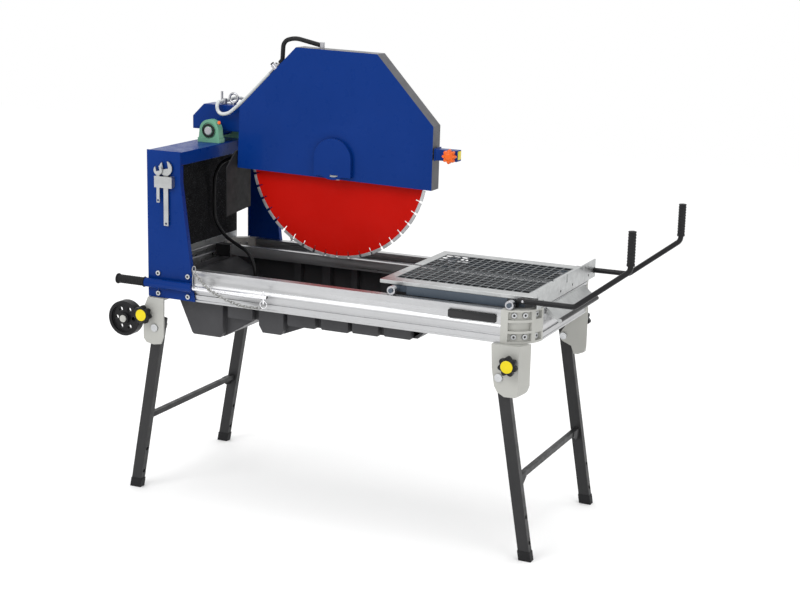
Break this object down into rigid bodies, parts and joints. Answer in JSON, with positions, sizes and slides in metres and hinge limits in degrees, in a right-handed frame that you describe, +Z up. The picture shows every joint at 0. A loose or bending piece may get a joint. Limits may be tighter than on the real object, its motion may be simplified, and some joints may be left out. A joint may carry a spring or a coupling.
{
  "type": "masonry saw",
  "caption": "Masonry table saw with a rolling mesh table, a tilting blade head under a faceted guard, a water tray and folding legs.",
  "frame": {"origin": "middle of the object's length and width, on the floor under the feet", "axes": "+X along the frame towards the operator's end with the table handles, +Y across it away from the near rail, +Z up"},
  "size_m": [1.9355, 0.768, 1.6594],
  "materials": {
    "blue_paint": "glossy enamel",
    "rail_aluminium": "anodised extrusion",
    "grey_casting": "painted casting, satin",
    "zinc_steel": "zinc plated",
    "galvanised_sheet": "galvanised sheet",
    "slate_paint": "satin enamel",
    "leg_paint": "dark powder coat",
    "black_rubber": "moulded rubber",
    "black_plastic": "moulded plastic",
    "tray_plastic": "rotation-moulded plastic, fine grain",
    "pump_plastic": "moulded plastic",
    "bearing_green": "painted casting",
    "red_enamel": "satin enamel over steel",
    "segment_metal": "sintered, ground",
    "machined_steel": "machined",
    "motor_paint": "enamel on ribbed casting",
    "orange_plastic": "moulded plastic",
    "red_plastic": "moulded plastic",
    "green_plastic": "moulded plastic",
    "brass_fitting": "turned brass",
    "clear_hose": "clear vinyl",
    "plate_print": "anodised label",
    "hanger_chrome": "chrome plated"
  },
  "bodies": {
    "frame": {"side_rails": "rail_aluminium", "end_rails": "rail_aluminium", "corner_castings": "grey_casting", "leg_housings_front": "grey_casting", "leg_housings_rear": "grey_casting", "fasteners": "zinc_steel", "guide_rail": "rail_aluminium", "water_tray": "tray_plastic", "water_pump": "pump_plastic", "post_near": "blue_paint", "post_far": "blue_paint", "cross_beam": "blue_paint", "pillow_blocks": "bearing_green", "splash_curtain": "black_rubber", "curtain_strips": "galvanised_sheet", "splash_lip": "galvanised_sheet", "data_plate": "plate_print", "spanner_holder": "galvanised_sheet", "hose_lower": "clear_hose"},
    "head": {"tilt_arm": "blue_paint", "spindle_bearings": "machined_steel", "pivot_shaft": "machined_steel", "drive_belt": "black_rubber", "motor": "motor_paint", "blade_guard": "blue_paint", "hub_cover": "blue_paint", "guard_flap": "black_rubber", "guard_bracket": "blue_paint", "switch_box": "black_plastic", "water_valve": "brass_fitting", "feed_hose": "black_rubber", "hose_upper": "clear_hose"},
    "spindle": {"blade_core": "red_enamel", "blade_segments": "segment_metal", "spindle_shaft": "machined_steel", "blade_clamp": "zinc_steel"},
    "motor_rotor": {"motor_shaft": "machined_steel"},
    "bracket_knob": {"clamp_knob": "orange_plastic"},
    "tap_lever": {"valve_lever": "zinc_steel"},
    "start_plunger": {"start_button": "green_plastic"},
    "stop_plunger": {"stop_button": "red_plastic"},
    "table": {"table_frame": "galvanised_sheet", "table_mesh": "zinc_steel", "table_fence": "galvanised_sheet", "table_runners": "slate_paint", "table_handles": "black_plastic"},
    "rear_rollers": {"rollers_rear": "machined_steel"},
    "front_rollers": {"rollers_front": "machined_steel"},
    "front_legs": {"leg_frame_front": "leg_paint", "leg_caps_front": "black_rubber"},
    "rear_legs": {"leg_frame_rear": "leg_paint", "leg_caps_rear": "black_rubber"},
    "knob_front_near": {"lock_knob_front_near": "black_plastic"},
    "knob_front_far": {"lock_knob_front_far": "black_plastic"},
    "knob_rear_near": {"lock_knob_rear_near": "black_plastic"},
    "knob_rear_far": {"lock_knob_rear_far": "black_plastic"},
    "handle_near": {"carry_handle_near": "hanger_chrome"},
    "handle_far": {"carry_handle_far": "hanger_chrome"},
    "wheel_near": {"transport_wheel_near": "black_plastic"},
    "wheel_far": {"transport_wheel_far": "black_plastic"}
  },
  "joints": [
    {"name": "head_tilt", "type": "hinge", "parent": "frame", "child": "head", "pos_m": [-0.72875, 0, 1.305], "axis": [0, -1, 0], "range_deg": [0, 18]},
    {"name": "blade_spin", "type": "hinge", "parent": "head", "child": "spindle", "pos_m": [-0.22375, 0, 1.227], "axis": [0, 1, 0], "continuous": true},
    {"name": "motor_spin", "type": "hinge", "parent": "head", "child": "motor_rotor", "pos_m": [-0.43875, 0, 1.385], "axis": [0, 1, 0], "continuous": true},
    {"name": "bracket_knob_turn", "type": "hinge", "parent": "head", "child": "bracket_knob", "pos_m": [0.22725, -0.05, 1.288], "axis": [0, 1, 0], "continuous": true},
    {"name": "tap_turn", "type": "hinge", "parent": "head", "child": "tap_lever", "pos_m": [-0.46449, -0.01, 1.53516], "axis": [-0.701, 0, 0.7132], "range_deg": [0, 90]},
    {"name": "start_press", "type": "slide", "parent": "head", "child": "start_plunger", "axis": [-1, 0, 0], "range_m": [0, 0.004], "stiffness_N_per_m": 600},
    {"name": "stop_press", "type": "slide", "parent": "head", "child": "stop_plunger", "axis": [-1, 0, 0], "range_m": [0, 0.004], "stiffness_N_per_m": 600},
    {"name": "table_slide", "type": "slide", "parent": "frame", "child": "table", "axis": [1, 0, 0], "range_m": [-0.74, 0]},
    {"name": "rear_roller_turn", "type": "hinge", "parent": "table", "child": "rear_rollers", "pos_m": [0.14225, 0, 0.8633], "axis": [0, 1, 0], "continuous": true},
    {"name": "front_roller_turn", "type": "hinge", "parent": "table", "child": "front_rollers", "pos_m": [0.56525, 0, 0.8633], "axis": [0, 1, 0], "continuous": true},
    {"name": "front_leg_fold", "type": "hinge", "parent": "frame", "child": "front_legs", "pos_m": [0.54825, 0, 0.625], "axis": [0, 1, 0], "range_deg": [0, 98]},
    {"name": "rear_leg_fold", "type": "hinge", "parent": "frame", "child": "rear_legs", "pos_m": [-0.77575, 0, 0.625], "axis": [0, -1, 0], "range_deg": [0, 90]},
    {"name": "knob_front_near_turn", "type": "hinge", "parent": "frame", "child": "knob_front_near", "pos_m": [0.58725, -0.36, 0.674], "axis": [0, 1, 0], "continuous": true},
    {"name": "knob_front_far_turn", "type": "hinge", "parent": "frame", "child": "knob_front_far", "pos_m": [0.58725, 0.36, 0.674], "axis": [0, 1, 0], "continuous": true},
    {"name": "knob_rear_near_turn", "type": "hinge", "parent": "frame", "child": "knob_rear_near", "pos_m": [-0.81075, -0.36, 0.674], "axis": [0, 1, 0], "continuous": true},
    {"name": "knob_rear_far_turn", "type": "hinge", "parent": "frame", "child": "knob_rear_far", "pos_m": [-0.81075, 0.36, 0.674], "axis": [0, 1, 0], "continuous": true},
    {"name": "handle_near_pull", "type": "slide", "parent": "frame", "child": "handle_near", "axis": [-1, 0, 0], "range_m": [0, 0.25]},
    {"name": "handle_far_pull", "type": "slide", "parent": "frame", "child": "handle_far", "axis": [-1, 0, 0], "range_m": [0, 0.25]},
    {"name": "wheel_near_turn", "type": "hinge", "parent": "frame", "child": "wheel_near", "pos_m": [-0.90375, -0.335, 0.645], "axis": [0, 1, 0], "continuous": true},
    {"name": "wheel_far_turn", "type": "hinge", "parent": "frame", "child": "wheel_far", "pos_m": [-0.90375, 0.335, 0.645], "axis": [0, 1, 0], "continuous": true}
  ],
  "couplings": [
    {"joint": "motor_spin", "follows": "blade_spin", "ratio": 1.2222},
    {"joint": "rear_roller_turn", "follows": "table_slide", "rad_per_m": 66.667},
    {"joint": "front_roller_turn", "follows": "table_slide", "rad_per_m": 66.667}
  ]
}
